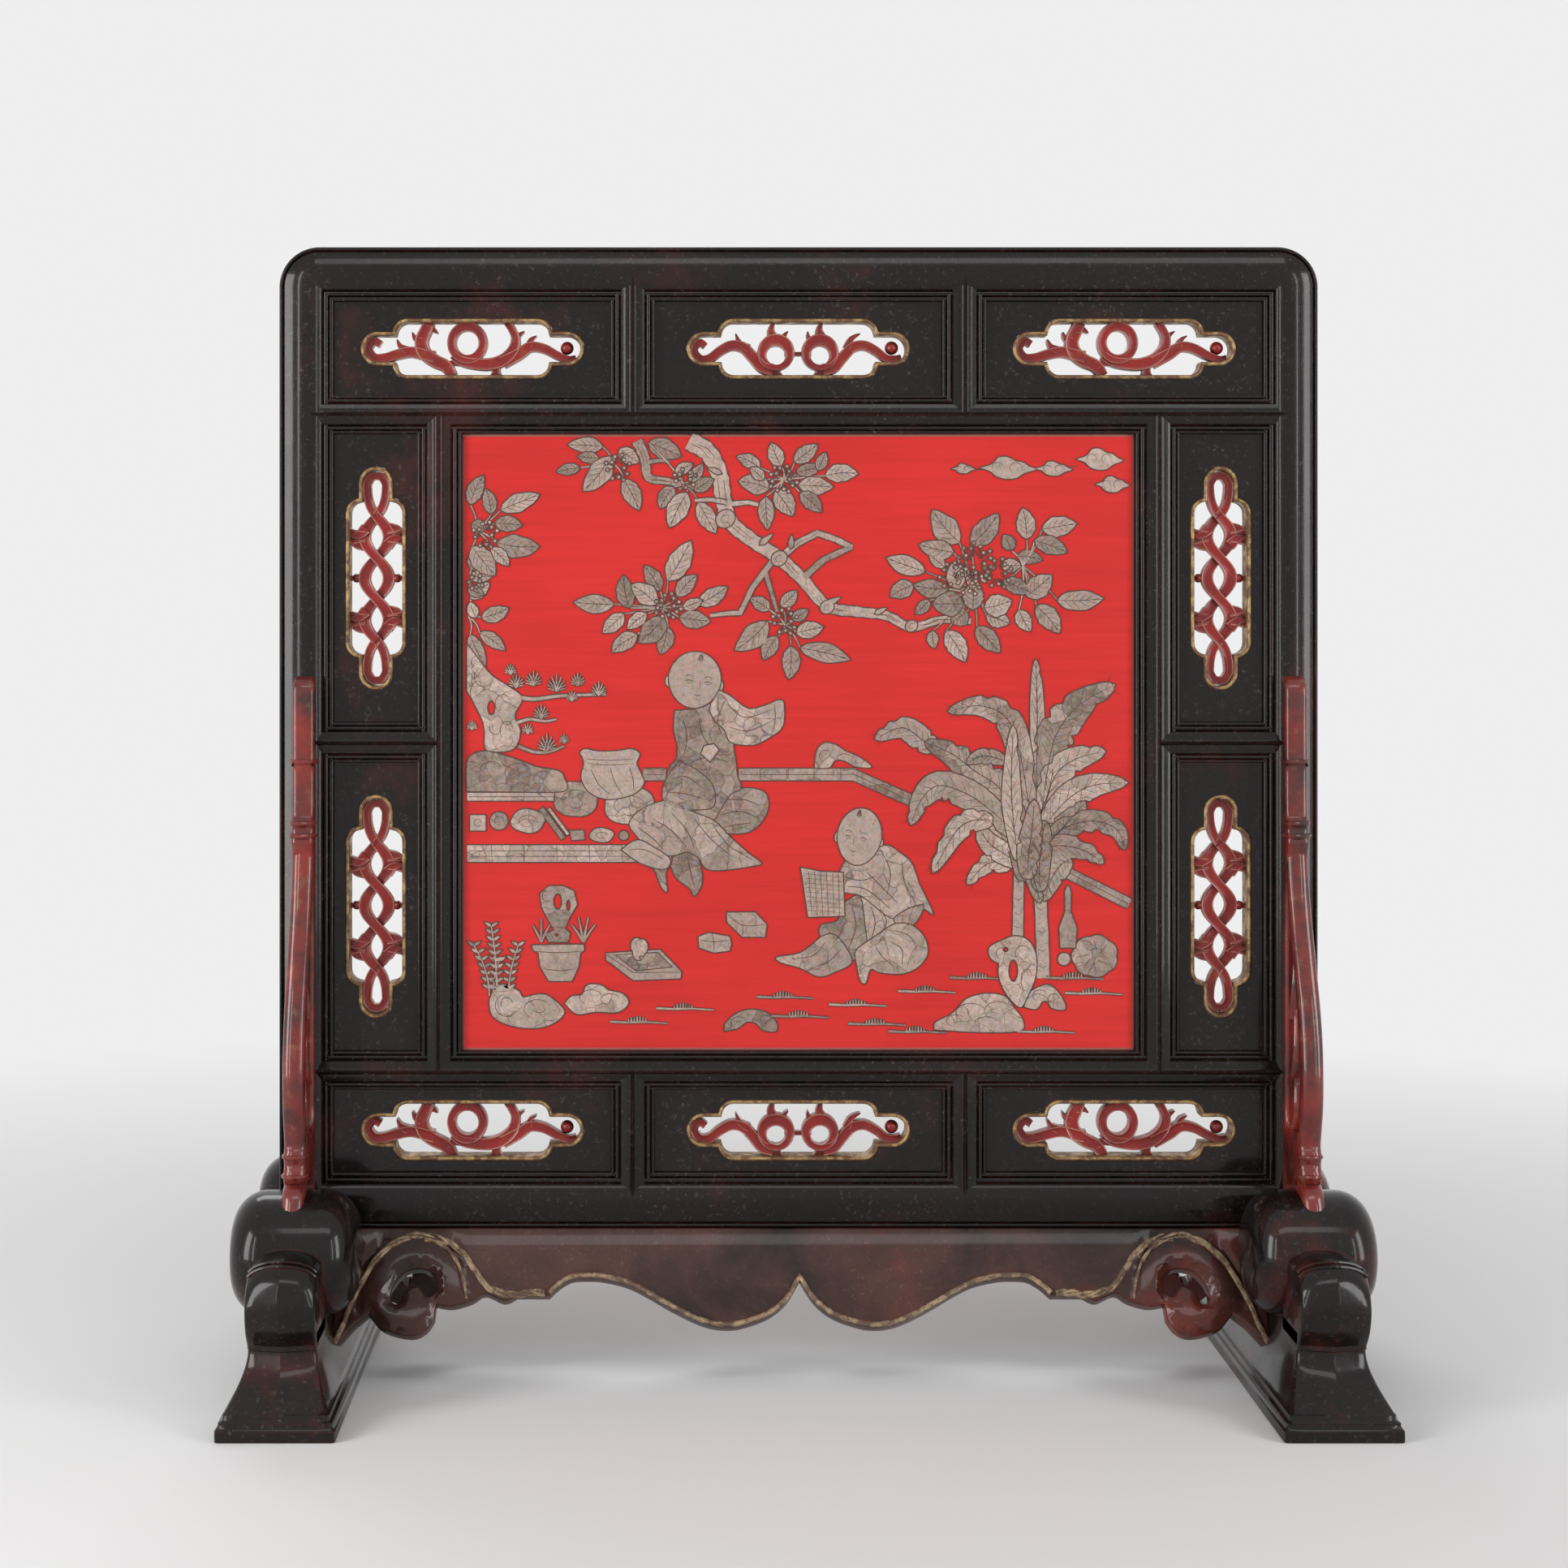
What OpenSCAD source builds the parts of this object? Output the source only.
// Table screen: a lacquered frame of moulded bars round a red panel with shell inlay,
// standing between two drum feet. Millimetres, front towards -Y, origin on the floor
// under the middle of the screen.

/* [Frame layout] */
// Width of the red panel between the inner stiles
panel_w = 350.8; // [300:0.1:400]
// Height of the red panel between the inner rails
panel_h = 321.3; // [280:0.1:360]
// Width of the side columns of boards
side_row_w = 43.6; // [42:0.1:55]
// Height of the top row of boards
top_row_h = 49; // [42:0.1:60]
// Height of the bottom row of boards
bottom_row_h = 43.1; // [40:0.1:55]
// Width of the middle board in the top and bottom rows
middle_board_w = 149.5; // [130:0.5:165]
// Height of the underside of the bottom rail above the floor
rail_base = 77.5; // [74:0.5:84]

/* [Bars] */
// Width of the outer stiles and of the top and bottom rails
outer_bar_w = 28; // [26:0.5:34]
// Height of the two inner rails
inner_rail_h = 20; // [18:0.5:26]
// Width of the two inner stiles
inner_stile_w = 23; // [20:0.5:28]
// Width of the upright dividers in the top and bottom rows
divider_w = 23; // [20:0.5:28]
// Height of the dividers in the side columns
side_divider_h = 21; // [18:0.5:26]
// Thickness of every bar from front ridge to back ridge
frame_t = 28; // [27:0.5:32]
// Radius of the rounded top corners
corner_r = 21; // [16:0.5:24]

/* [Mouldings] */
// Depth of the mouldings from the ridge down to the boards
moulding_depth = 8; // [7:0.1:9]
// Distance from the ridge of an outer bar to its inner edge
ridge_in = 13; // [12:0.5:14]
// Share of the half width taken by the pinched ridge
pinch_share = 0.16; // [0.1:0.01:0.25]
// Fall of the pinched ridge
pinch_fall = 1.5; // [0.8:0.1:2.2]
// Share of the half width where the long slope ends
slope_share = 0.6; // [0.5:0.01:0.65]
// Depth at the end of the long slope
slope_fall = 3; // [2.4:0.1:3.6]
// Share of the half width where the first bead ends
bead_share = 0.8; // [0.75:0.01:0.85]
// Depth of the groove beside the first bead
bead_fall = 4.3; // [4:0.1:4.8]
// Depth of the groove beside the second bead
edge_fall = 5.8; // [5.4:0.1:6.4]
// Height of both beads
bead_rise = 1; // [0.5:0.1:1.2]
// Width of the bead on the outside corner of the outer bars
rim_bead_w = 2; // [1.5:0.1:3]

/* [Joints] */
// Thickness of the tenons
tenon_t = 6; // [4:0.5:8]
// Length of the tenons of the inner rails in the stiles
rail_tenon = 15; // [10:0.5:18]
// Length of the tenons of the dividers
divider_tenon = 7; // [5:0.5:8]
// Thickness of the tongues round the boards
tongue_t = 5; // [4:0.5:6]
// Depth of the tongues round the boards
tongue_d = 4; // [3:0.5:4.5]
// Clearance of every fit
fit_gap = 0.15; // [0.1:0.05:0.25]
// Clearance at the point of every shoulder
point_gap = 0.3; // [0.2:0.05:0.5]

/* [Board openings] */
// Length of the openings
opening_l = 116.5; // [106:0.5:120]
// Width of the openings across the middle
opening_w = 31.5; // [28:0.5:33]
// Width of the round lobe at each end of an opening
lobe_w = 17.8; // [15:0.2:19]
// Length of the lobes beyond the wide middle
lobe_l = 16.5; // [14:0.5:19]
// Corner radius of the wide middle
opening_r = 8; // [6:0.5:8.5]
// Width of the gilt bead round an opening
gilt_w = 2; // [1.5:0.1:2.5]
// Height of the gilt bead over the board
gilt_rise = 1.2; // [0.6:0.1:1.6]
// Thickness of the carved scrolls in the openings
scroll_t = 8; // [6:0.5:10]

/* [Red panel] */
// Width of the bevel round the red face
bevel_w = 2.5; // [1.5:0.1:4]
// Fall of the bevel round the red face
bevel_fall = 1; // [0.5:0.1:2]
// Thickness of the shell pieces
shell_t = 0.4; // [0.3:0.05:0.8]

/* [Feet] */
// Length of a foot from front to back
foot_l = 244; // [225:1:260]
// Width of the base of a foot
foot_w = 58; // [54:0.5:64]
// Height of the upright edge of the base
base_edge = 6; // [5:0.5:8]
// Height of the ankle where the flare of the base ends
ankle_z = 37; // [34:0.5:39]
// Width of the leg at the ankle
ankle_w = 34; // [32:0.5:38]
// Height of the top of the tongues before the drums
tongue_top = 80; // [74:0.5:86]
// Angle that each side of the ridge down the leg turns back from the front
leg_ridge_angle = 13; // [8:1:16]
// Radius of the drums
drum_r = 31; // [29:0.5:32]
// Thickness of the drums
drum_t = 63; // [58:0.5:66]
// Radius of the round shoulders of the drums
drum_shoulder = 17; // [12:0.5:20]
// Height of the middle of the drums
drum_z = 73; // [71:0.5:75]
// Height of the seat of a stile in its foot
stile_seat = 46; // [44:0.5:50]
// Length of the tenon under a stile
stile_tenon = 30; // [20:1:36]

/* [Aprons] */
// Thickness of an apron board
apron_t = 8; // [6:0.5:9]
// Slope of an apron away from the upright
apron_slope = 30; // [20:1:34]
// Depth that an apron is let into each foot
apron_let_in = 5; // [3:0.5:6]

/* [Spandrels] */
// Thickness of a spandrel
spandrel_t = 11.5; // [9:0.5:14]
// Height of the top of a spandrel above the drum top
spandrel_h = 260; // [240:1:280]

/* [Hidden] */

// Colours
black = [0.17, 0.14, 0.13];
red = [0.85, 0.16, 0.16];
worn_red = [0.6, 0.22, 0.18];
gilt = [0.62, 0.48, 0.27];
shell = [0.62, 0.58, 0.53];

// Heights of the edges of the rows, from the bottom rail up
z_bottom_row = rail_base + outer_bar_w;
z_lower_rail = z_bottom_row + bottom_row_h;
z_panel = z_lower_rail + inner_rail_h;
z_upper_rail = z_panel + panel_h;
z_top_row = z_upper_rail + inner_rail_h;
z_top_rail = z_top_row + top_row_h;
z_top = z_top_rail + outer_bar_w;
z_middle = z_panel + panel_h / 2;

// Distances of the edges from the middle, outwards
x_inner_stile = panel_w / 2;
x_side_row = x_inner_stile + inner_stile_w;
x_stile = x_side_row + side_row_w;
x_out = x_stile + outer_bar_w;
x_divider = middle_board_w / 2 + divider_w / 2;
stile_x = x_stile + outer_bar_w / 2;

ridge_out = outer_bar_w - ridge_in;
core_half = frame_t / 2 - moulding_depth;
past = 1;
pinch_steps = 4;
dome_steps = 6;
bead_steps = 4;
round_steps = 6;
outer_fall = 3.4;
side_fall = 5;

// Helpers for lists of points
function flipped(a) = [for (i = [len(a) - 1:-1:0]) a[i]];
function mirrored(a) = [for (p = a) [-p[0], p[1]]];
function arc(cx, cy, r, from, to, steps) =
  [for (i = [0:steps]) let (a = from + (to - from) * i / steps)
    [cx + r * cos(a), cy + r * sin(a)]];

// A smooth curve through points, passing each of them
function curve_at(a, b, c, d, t) =
  0.5 * ((2 * b) + (c - a) * t + (2 * a - 5 * b + 4 * c - d) * t * t
    + (3 * b - a - 3 * c + d) * t * t * t);
function curve(p, steps) = concat(
  [for (i = [0:len(p) - 2]) for (k = [0:steps - 1])
    curve_at(p[max(i - 1, 0)], p[i], p[i + 1], p[min(i + 2, len(p) - 1)], k / steps)],
  [p[len(p) - 1]]);

// A band of changing width along a line of points
function heading(p, i) =
  let (a = p[max(i - 1, 0)], b = p[min(i + 1, len(p) - 1)]) (b - a) / norm(b - a);
function band(p, w0, w1) =
  let (n = len(p) - 1, side = [for (i = [0:n]) [-heading(p, i)[1], heading(p, i)[0]]],
    half = [for (i = [0:n]) (w0 + (w1 - w0) * i / n) / 2])
  concat([for (i = [0:n]) p[i] + side[i] * half[i]],
    [for (i = [n:-1:0]) p[i] - side[i] * half[i]]);

// Half outlines of a moulding, from the ridge to the edge: distance and depth
function bead_points(x0, x1, base) =
  [for (i = [0:bead_steps]) let (a = 180 * i / bead_steps)
    [(x0 + x1) / 2 - (x1 - x0) / 2 * cos(a), base - bead_rise * sin(a)]];
function edge_points(w) = concat(
  bead_points(w * slope_share, w * bead_share, bead_fall),
  bead_points(w * bead_share, w, edge_fall),
  [[w, moulding_depth]]);
function sword_half(w) = concat(
  [for (i = [0:pinch_steps]) let (t = i / pinch_steps)
    [w * pinch_share * t, pinch_fall * sin(90 * t)]],
  [[w * slope_share, slope_fall]],
  edge_points(w));
function dome_half(w) = concat(
  [for (i = [0:dome_steps]) let (t = i / dome_steps)
    [w * slope_share * t, slope_fall * t * t]],
  edge_points(w));
function outer_half(w) = concat(
  [for (i = [0:dome_steps]) let (t = i / dome_steps)
    [(w - rim_bead_w) * t, outer_fall * t * t]],
  bead_points(w - rim_bead_w, w, side_fall));

// Whole section of a bar: X across the face, Y through the thickness. Its points sit on a
// fine grid, so that swept and straight lengths of one bar meet without slivers.
grid = 0.001;
function on_grid(a) = [for (p = a) [round(p[0] / grid) * grid, round(p[1] / grid) * grid]];
function section(left, right) = on_grid(whole_section(left, right));
function whole_section(left, right) = concat(
  [for (p = flipped(left)) [-p[0], p[1] - frame_t / 2]],
  [for (p = right) if (p[0] > 0) [p[0], p[1] - frame_t / 2]],
  [for (p = flipped(right)) [p[0], frame_t / 2 - p[1]]],
  [for (p = left) if (p[0] > 0) [-p[0], frame_t / 2 - p[1]]]);

// Plate along the front and the back of a bar, as deep as the mouldings
module both_faces(extra = 0) {
  for (side = [-1, 1])
    translate([0, side * (core_half + (moulding_depth + extra) / 2), 0])
      rotate([90, 0, 0])
        linear_extrude(moulding_depth + extra, center = true) children();
}

// Pointed ends that a bar sends into its neighbours, seen from the front.
// w is the half width of the bar, low and high are the lengths of its two points.
module point_cuts(length, w, low, high) {
  both_faces(past) {
    polygon([[-w, 0], [0, -low], [w, 0]]);
    polygon([[-w, length], [0, length + high], [w, length]]);
  }
}

// Plan of a bar: pointed on both faces, square in the core
module bar_plan(length, w, low, high) {
  low_point = low - point_gap;
  high_point = high - point_gap;
  both_faces(past)
    polygon([
      [-w - past, 0], [-w, 0], [0, -low_point], [w, 0], [w + past, 0],
      [w + past, length], [w, length], [0, length + high_point], [-w, length],
      [-w - past, length]
    ]);
  translate([-w - past, -core_half, 0]) cube([2 * (w + past), 2 * core_half, length]);
}

// Tenons at both ends, or the mortises for them when gap is not 0
module tenons(length, w, reach, gap = 0) {
  wide = 2 * (w - tongue_d - past) + 2 * gap;
  thick = tenon_t + 2 * gap;
  translate([-wide / 2, -thick / 2, -reach - gap])
    cube([wide, thick, length + 2 * (reach + gap)]);
}

// A bar along Z from 0 to length, with its ridge on the axis
module bar(length, left, right, w, low, high, reach) {
  intersection() {
    translate([0, 0, -low])
      linear_extrude(length + low + high) polygon(section(left, right));
    bar_plan(length, w, low, high);
  }
  tenons(length, w, reach);
}

// Places of the bars. Each takes what stands along Z and lays it where its bar lies.
module lie(x, z) {
  translate([x, 0, z]) rotate([0, 90, 0]) children();
}
module at_bottom_rail() { lie(-x_stile, z_bottom_row - ridge_in) children(); }
module at_inner_rail(z) { lie(-x_stile, z + inner_rail_h / 2) children(); }
module at_inner_stile() {
  translate([x_inner_stile + inner_stile_w / 2, 0, z_panel]) children();
}
module at_top_divider() { translate([x_divider, 0, z_top_row]) children(); }
module at_bottom_divider() { translate([x_divider, 0, z_bottom_row]) children(); }
module at_side_divider() { lie(x_side_row, z_middle) children(); }
module both_sides() {
  children();
  mirror([1, 0, 0]) children();
}

// What the bars take out of their neighbours
module rail_ends(w) {
  point_cuts(2 * x_stile, w, ridge_in, ridge_in);
  tenons(2 * x_stile, w, rail_tenon, fit_gap);
}
module inner_stile_ends() {
  point_cuts(panel_h, inner_stile_w / 2, inner_rail_h / 2, inner_rail_h / 2);
  tenons(panel_h, inner_stile_w / 2, divider_tenon, fit_gap);
}
module row_divider_ends(length, low, high) {
  point_cuts(length, divider_w / 2, low, high);
  tenons(length, divider_w / 2, divider_tenon, fit_gap);
}
module side_divider_ends() {
  point_cuts(side_row_w, side_divider_h / 2, inner_stile_w / 2, ridge_in);
  tenons(side_row_w, side_divider_h / 2, divider_tenon, fit_gap);
}

// Bays between the bars: left, right, bottom, top
bay_left_x = [-x_stile, -x_divider - divider_w / 2];
bay_middle_x = [-middle_board_w / 2, middle_board_w / 2];
side_half = side_divider_h / 2;
function row_bay(part, z0, z1) =
  part == 0 ? [bay_middle_x[0], bay_middle_x[1], z0, z1]
  : part < 0 ? [bay_left_x[0], bay_left_x[1], z0, z1]
  : [-bay_left_x[1], -bay_left_x[0], z0, z1];
function top_bay(part) = row_bay(part, z_top_row, z_top_rail);
function bottom_bay(part) = row_bay(part, z_bottom_row, z_lower_rail);
function side_bay(side, upper) =
  let (z = upper ? [z_middle + side_half, z_upper_rail] : [z_panel, z_middle - side_half])
  side < 0 ? [-x_stile, -x_side_row, z[0], z[1]] : [x_side_row, x_stile, z[0], z[1]];
panel_bay = [-x_inner_stile, x_inner_stile, z_panel, z_upper_rail];
bays = concat([for (part = [-1:1]) top_bay(part)], [for (part = [-1:1]) bottom_bay(part)],
  [for (side = [-1, 1]) for (upper = [true, false]) side_bay(side, upper)], [panel_bay]);

// A slab that fills a bay, grown by extra on every edge
module bay_slab(bay, thick, extra) {
  translate([bay[0] - extra, -thick / 2, bay[2] - extra])
    cube([bay[1] - bay[0] + 2 * extra, thick, bay[3] - bay[2] + 2 * extra]);
}
module grooves() {
  for (bay = bays) bay_slab(bay, tongue_t + 2 * fit_gap, tongue_d + fit_gap);
}

// Outer section swept round the left top corner
module corner_sweep() {
  translate([-x_out + corner_r, 0, z_top - corner_r])
    rotate([90, 0, 0])
      rotate([0, 0, 90])
        rotate_extrude(angle = 90, $fn = 96)
          intersection() {
            polygon([for (p = section(dome_half(ridge_in), outer_half(ridge_out)))
              [corner_r - ridge_out + p[0], p[1]]]);
            translate([0, -frame_t]) square([corner_r + past, 2 * frame_t]);
          }
}

// Wedge that cuts a straight bar to the mitre line of a top corner
module mitre_cut(sx, sz) {
  side = outer_bar_w;
  translate([-x_stile, 0, z_top_rail])
    rotate([90, 0, 0])
      linear_extrude(2 * frame_t, center = true)
        polygon([[0, 0], [-side, side], [sx * side, sz * side]]);
}

// Block that ties a stile to the top rail inside the mitre
corner_tenon_w = 8;
corner_tenon_h = 14;
module corner_tenon(gap) {
  wide = corner_tenon_w + 2 * gap;
  translate([-x_stile - ridge_in - wide / 2, -tenon_t / 2 - gap, z_top_rail - corner_tenon_h])
    cube([wide, tenon_t + 2 * gap, 2 * corner_tenon_h + gap]);
}

module stile_body() {
  top = z_top - corner_r;
  difference() {
    union() {
      translate([-x_stile - ridge_in, 0, stile_seat])
        linear_extrude(top - stile_seat)
          polygon(section(outer_half(ridge_out), dome_half(ridge_in)));
      corner_sweep();
    }
    mitre_cut(1, 1);
  }
}

// Left stile: moulded bar, round corner, tenon into the foot
foot_tenon_w = 16;
module foot_tenon(gap) {
  translate([-stile_x - foot_tenon_w / 2 - gap, -tenon_t - gap, stile_seat - stile_tenon - gap])
    cube([foot_tenon_w + 2 * gap, 2 * (tenon_t + gap), stile_tenon + gap + past]);
}
module left_stile() {
  color(black) {
    difference() {
      stile_body();
      grooves();
      at_bottom_rail() rail_ends(ridge_in);
      at_inner_rail(z_lower_rail) rail_ends(inner_rail_h / 2);
      at_inner_rail(z_upper_rail) rail_ends(inner_rail_h / 2);
      mirror([1, 0, 0]) at_side_divider() side_divider_ends();
    }
    corner_tenon(0);
    foot_tenon(0);
  }
}
module stile_left() { left_stile(); }
module stile_right() { mirror([1, 0, 0]) left_stile(); }

module top_rail() {
  length = 2 * (x_out - corner_r);
  color(black)
    difference() {
      union() {
        translate([-length / 2, 0, z_top_rail + ridge_in])
          rotate([0, 90, 0])
            linear_extrude(length)
              polygon(section(outer_half(ridge_out), dome_half(ridge_in)));
        both_sides() corner_sweep();
      }
      both_sides() mitre_cut(-1, -1);
      grooves();
      both_sides() corner_tenon(fit_gap);
      both_sides() at_top_divider()
        row_divider_ends(top_row_h, inner_rail_h / 2, ridge_in);
    }
}

module bottom_rail() {
  color(black)
    difference() {
      at_bottom_rail()
        bar(2 * x_stile, dome_half(ridge_in), outer_half(ridge_out), ridge_in,
          ridge_in, ridge_in, rail_tenon);
      grooves();
      both_sides() at_bottom_divider()
        row_divider_ends(bottom_row_h, ridge_in, inner_rail_h / 2);
    }
}

module inner_rail(z) {
  half = inner_rail_h / 2;
  difference() {
    at_inner_rail(z)
      bar(2 * x_stile, sword_half(half), sword_half(half), half, ridge_in, ridge_in,
        rail_tenon);
    grooves();
    both_sides() at_inner_stile() inner_stile_ends();
    both_sides() at_top_divider() row_divider_ends(top_row_h, half, ridge_in);
    both_sides() at_bottom_divider() row_divider_ends(bottom_row_h, ridge_in, half);
  }
}
module inner_rail_upper() { color(black) inner_rail(z_upper_rail); }
module inner_rail_lower() { color(black) inner_rail(z_lower_rail); }

module inner_stile() {
  half = inner_stile_w / 2;
  reach = inner_rail_h / 2;
  color(black)
    difference() {
      at_inner_stile()
        bar(panel_h, sword_half(half), sword_half(half), half, reach, reach, divider_tenon);
      grooves();
      at_side_divider() side_divider_ends();
    }
}
module inner_stile_right() { inner_stile(); }
module inner_stile_left() { mirror([1, 0, 0]) inner_stile(); }

module top_divider() {
  half = divider_w / 2;
  color(black)
    difference() {
      at_top_divider()
        bar(top_row_h, sword_half(half), sword_half(half), half, inner_rail_h / 2,
          ridge_in, divider_tenon);
      grooves();
    }
}
module top_divider_right() { top_divider(); }
module top_divider_left() { mirror([1, 0, 0]) top_divider(); }

module bottom_divider() {
  half = divider_w / 2;
  color(black)
    difference() {
      at_bottom_divider()
        bar(bottom_row_h, sword_half(half), sword_half(half), half, ridge_in,
          inner_rail_h / 2, divider_tenon);
      grooves();
    }
}
module bottom_divider_right() { bottom_divider(); }
module bottom_divider_left() { mirror([1, 0, 0]) bottom_divider(); }

module side_divider() {
  half = side_divider_h / 2;
  color(black)
    difference() {
      at_side_divider()
        bar(side_row_w, sword_half(half), sword_half(half), half, inner_stile_w / 2,
          ridge_in, divider_tenon);
      grooves();
    }
}
module side_divider_right() { side_divider(); }
module side_divider_left() { mirror([1, 0, 0]) side_divider(); }

// Outline of an opening: a wide middle with round corners and a round lobe at each end.
// inset shrinks it evenly.
function opening_quarter(inset) =
  let (r = opening_r - inset, lobe = lobe_w / 2 - inset,
    cx = opening_l / 2 - lobe_l - opening_r, cy = opening_w / 2 - opening_r,
    meet = asin((lobe - cy) / r))
  concat(arc(cx, cy, r, 90, meet, round_steps),
    arc(opening_l / 2 - lobe_w / 2, 0, lobe, 90, 0, round_steps));
function opening_outline(inset) =
  let (q = opening_quarter(inset), n = len(q) - 1,
    half = concat(q, [for (i = [n - 1:-1:0]) [q[i][0], -q[i][1]]]))
  concat(half, [for (i = [len(half) - 1:-1:0]) [-half[i][0], half[i][1]]]);

// Middle of a bay, with what is drawn flat set upright in it
module in_bay(bay, upright) {
  translate([(bay[0] + bay[1]) / 2, 0, (bay[2] + bay[3]) / 2])
    rotate([90, upright ? 90 : 0, 0]) children();
}

module board(bay, upright) {
  color(black)
    difference() {
      union() {
        bay_slab(bay, 2 * core_half, -fit_gap);
        bay_slab(bay, tongue_t, tongue_d - fit_gap);
      }
      in_bay(bay, upright)
        linear_extrude(frame_t, center = true) polygon(opening_outline(-fit_gap));
    }
}

// Gilt bead that lines an opening and stands out on both faces, stepped to a round top
bead_layers = 3;
module gilt_bead(bay, upright) {
  color(gilt)
    in_bay(bay, upright)
      for (i = [1:bead_layers]) {
        step = gilt_w / 2 * (1 - cos(90 * (i - 1) / bead_layers));
        linear_extrude(2 * (core_half + gilt_rise * sin(90 * i / bead_layers)), center = true)
          difference() {
            polygon(opening_outline(step));
            polygon(opening_outline(gilt_w - step));
          }
      }
}

// Carved scrolls, drawn flat. Strokes that pass behind others are thinner by a step.
ring_r = 10;
tendril_w = 6.4;
relief = 1.4;
strand_t = scroll_t - relief;
strut_t = scroll_t - 2 * relief;
scroll_half_w = opening_w / 2 - gilt_w - fit_gap;
knob_x = opening_l / 2 - lobe_w / 2;
knob_r = 3.5;
module stroke(points, thick) {
  linear_extrude(thick, center = true) polygon(points);
}
module disc(x, y, r, thick) {
  translate([x, y, 0]) cylinder(h = thick, r = r, center = true, $fn = 48);
}
module ring(x, y, r_out, r_in) {
  difference() {
    disc(x, y, r_out, scroll_t);
    disc(x, y, r_in, scroll_t + past);
  }
}

// Tendril that runs out to a knob in the lobe, with a leaf spur and a strut to the bead
module tendril(side, root, strut) {
  stroke(band(curve([root, [side * 24, -3], [side * 31, 0.5], [side * 38, -0.5],
    [side * 45, -4.2], [side * 51, -4.6]], 5), tendril_w, 4.8), strand_t);
  stroke([[side * 27, -1], [side * 34, 6], [side * 35.5, -1]], strut_t);
  disc(side * knob_x, -0.3, knob_r, scroll_t);
  stroke([[side * (knob_x - 3), -1], [side * (knob_x - 3), -scroll_half_w],
    [side * (knob_x + 3), -scroll_half_w], [side * (knob_x + 3), -1]], strut_t);
  stroke([[strut - 3.4, -scroll_half_w - past], [strut + 3.4, -scroll_half_w - past],
    [strut + 2.4, -8], [strut - 2.4, -8]], strut_t);
}

// For the corner boards: a ring held by a wide crook
module crook_scroll() {
  ring(-3, 2.8, ring_r + 0.6, 5.4);
  stroke(band(curve([[-11, 2], [-7.5, -5], [0, -8.8], [9, -9.3], [17, -5.5],
    [21.6, 1], [22, 8], [18.5, 15]], 6), 4.6, 6.6), strand_t);
  stroke([[-18, 8.4], [-24, 6], [-24, 15], [-18.5, 15]], strut_t);
  stroke([[-19, -4], [-5, -5], [-7, -9.5], [-16, -10.5]], strut_t);
  stroke(band(curve([[-22, 16], [-26.6, 7], [-25, -1], [-19, -7], [-12, -15]], 6), 6.6, 6),
    strand_t);
  tendril(1, [17, -6], 12);
  tendril(-1, [-19, -5], -13);
}

// For the middle boards: two rings tied by a bar
twin_x = 11.4;
module twin_scroll() {
  for (side = [-1, 1]) {
    ring(side * twin_x, -2.8, ring_r + 0.4, 4.8);
    stroke([[side * 18, 4], [side * (twin_x + 1), scroll_half_w + past],
      [side * 6.5, 5]], strand_t);
    stroke([[side * 6.4, -10], [side * 7.4, -scroll_half_w - past],
      [side * 17, -scroll_half_w - past], [side * 16.4, -9]], strut_t);
    tendril(side, [side * 17, -9], side * 13);
  }
  translate([0, -2.8, 0]) cube([16, 2.4, strut_t], center = true);
}

// For the side boards: two strands that cross, with a loop at each end
twist_pitch = opening_l / 5.4;
twist_rise = 6.4;
twist_w = 6;
twist_steps = 30;
module twist_scroll() {
  reach = 1.6 * twist_pitch;
  cross_x = 1.5 * twist_pitch;
  loop_end = opening_l / 2 - gilt_w - twist_w / 2;
  for (side = [-1, 1]) {
    thick = side > 0 ? scroll_t : strand_t;
    stroke(band([for (i = [-twist_steps:twist_steps]) let (x = reach * i / twist_steps)
      [x, side * twist_rise * cos(180 * x / twist_pitch)]], twist_w, twist_w), thick);
    for (end = [-1, 1])
      stroke(band(curve([[end * (cross_x - 1), -side], [end * (cross_x + 5), side * 4.4],
        [end * (cross_x + 11), side * 5], [end * (loop_end - 3), side * 4.4],
        [end * loop_end, -side]], 4), 4.8, twist_w), thick);
    for (at = [-1, 1])
      stroke([[at * twist_pitch - 6.5, side * 7], [at * twist_pitch - 2.5, side * scroll_half_w],
        [at * twist_pitch + 2.5, side * scroll_half_w], [at * twist_pitch + 6.5, side * 7]],
        strut_t);
    disc(0, side * 11, 2.8, strut_t);
    stroke([[-1.5, side * 8], [-1.5, side * scroll_half_w], [1.5, side * scroll_half_w],
      [1.5, side * 8]], strut_t - relief);
  }
}
module scroll(bay, upright, kind) {
  color(worn_red)
    in_bay(bay, upright)
      intersection() {
        stroke(opening_outline(gilt_w + fit_gap), scroll_t + past);
        union() {
          if (kind == "crook") crook_scroll();
          if (kind == "twin") twin_scroll();
          if (kind == "twist") twist_scroll();
        }
      }
}

module board_top_left() { board(top_bay(-1), false); }
module board_top_middle() { board(top_bay(0), false); }
module board_top_right() { board(top_bay(1), false); }
module board_bottom_left() { board(bottom_bay(-1), false); }
module board_bottom_middle() { board(bottom_bay(0), false); }
module board_bottom_right() { board(bottom_bay(1), false); }
module board_left_upper() { board(side_bay(-1, true), true); }
module board_left_lower() { board(side_bay(-1, false), true); }
module board_right_upper() { board(side_bay(1, true), true); }
module board_right_lower() { board(side_bay(1, false), true); }

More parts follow.
